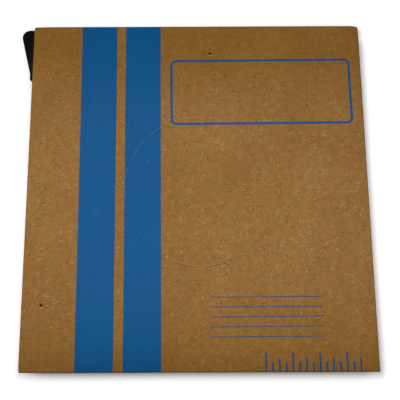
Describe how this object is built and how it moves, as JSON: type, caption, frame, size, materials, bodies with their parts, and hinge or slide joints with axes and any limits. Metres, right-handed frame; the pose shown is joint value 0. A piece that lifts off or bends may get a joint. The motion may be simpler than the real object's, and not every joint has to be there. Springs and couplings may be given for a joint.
{
  "type": "steel band dispenser carton",
  "caption": "Flat closed cardboard dispenser carton holding a coil of steel band, with blue printed stripes, a perforated ring and a black plastic band guide at a corner.",
  "frame": {"origin": "middle of the carton's back face, which lies on the floor", "axes": "+X to the right of the printed face, +Y to its top edge, +Z out of the printed face"},
  "size_m": [0.3523, 0.349, 0.027],
  "materials": {
    "carton": "matte kraft liner with blue printed stripes",
    "band_coil": "bright rolled",
    "band_guide": "black moulded"
  },
  "bodies": {
    "root": {"carton": "carton", "band_coil": "band_coil", "band_guide": "band_guide"}
  },
  "joints": []
}
